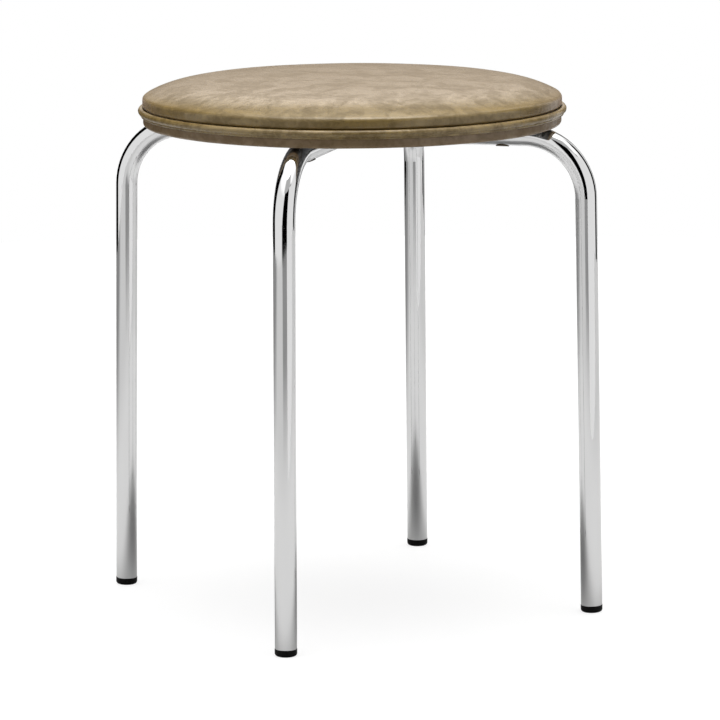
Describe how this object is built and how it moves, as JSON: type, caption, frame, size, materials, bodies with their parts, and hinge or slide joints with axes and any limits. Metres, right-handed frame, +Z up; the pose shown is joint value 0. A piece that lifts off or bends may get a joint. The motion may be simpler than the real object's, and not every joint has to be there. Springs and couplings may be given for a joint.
{
  "type": "round upholstered stool",
  "caption": "Round stool with a padded leatherette seat, piped at its edge, on a chromed tube frame whose legs bend under the seat and end in plastic caps.",
  "frame": {"origin": "on the floor, under the middle of the seat", "axes": "+Z up through the middle of the seat, +X along the main tube towards the right leg, +Y towards the rear leg"},
  "size_m": [0.4336, 0.4336, 0.45],
  "materials": {
    "chrome": "bright chrome plating on steel tube",
    "weld": "plated weld beads",
    "foot_plastic": "black moulded plastic with a soft sheen",
    "plug_plastic": "dark brown moulded plastic",
    "screw_steel": "zinc plated steel",
    "plywood": "raw plywood",
    "rim_fibre": "pressed fibre strip",
    "foam": "cut upholstery foam",
    "wadding": "white polyester wadding",
    "leatherette": "waxed, mottled taupe leatherette",
    "piping_leatherette": "the same leatherette, drawn tight over a cord",
    "band_leatherette": "brown leatherette strip",
    "cord_core": "twisted piping cord",
    "dust_cloth": "black spun cloth",
    "staple_steel": "galvanised wire"
  },
  "bodies": {
    "root": {"main_tube": "chrome", "front_leg_tube": "chrome", "rear_leg_tube": "chrome", "weld_beads": "weld", "hole_plugs": "plug_plastic", "foot_cap_left": "foot_plastic", "foot_cap_right": "foot_plastic", "foot_cap_front": "foot_plastic", "foot_cap_rear": "foot_plastic", "seat_screws": "screw_steel", "tee_nuts": "screw_steel", "seat_board": "plywood", "rim_strip": "rim_fibre", "foam_pad": "foam", "wadding_layer": "wadding", "seat_cover": "leatherette", "piping_cord": "cord_core", "piping_cover": "piping_leatherette", "side_band": "band_leatherette", "band_staples": "staple_steel", "dust_cover": "dust_cloth", "dust_cover_staples": "staple_steel"}
  },
  "joints": []
}
